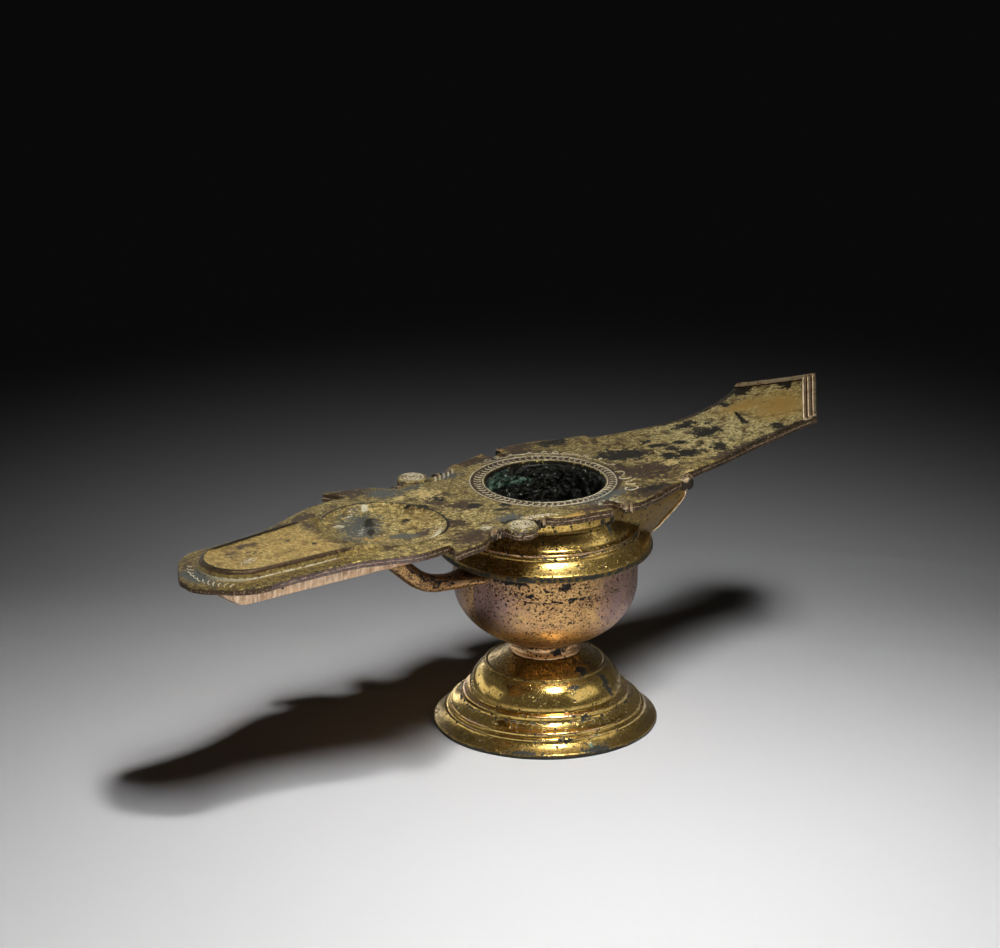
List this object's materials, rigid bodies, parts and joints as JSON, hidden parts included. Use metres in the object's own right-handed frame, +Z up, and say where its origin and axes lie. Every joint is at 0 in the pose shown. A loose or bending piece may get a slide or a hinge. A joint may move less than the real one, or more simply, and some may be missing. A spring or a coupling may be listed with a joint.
{
  "type": "oil lamp",
  "caption": "Standing pedestal oil lamp: long flat top with wick channel, dish, filling hole and raised handle, over a round bowl on a stepped hollow foot.",
  "frame": {"origin": "centre of the lamp's box at the level of the surface it stands on", "axes": "+X towards the handle, -X towards the nozzle, +Y across the lamp, +Z up along the turned axis of bowl and foot"},
  "size_m": [0.2476, 0.07, 0.0902],
  "materials": {
    "top_bronze": "worn yellow bronze under patchy dark brown, grey and green patina",
    "bowl_bronze": "coppery bronze, finely pitted, with purple tarnish",
    "foot_bronze": "polished golden bronze with small dark pits"
  },
  "bodies": {
    "root": {"upper_body": "top_bronze", "bowl": "bowl_bronze", "foot": "foot_bronze"}
  },
  "joints": []
}
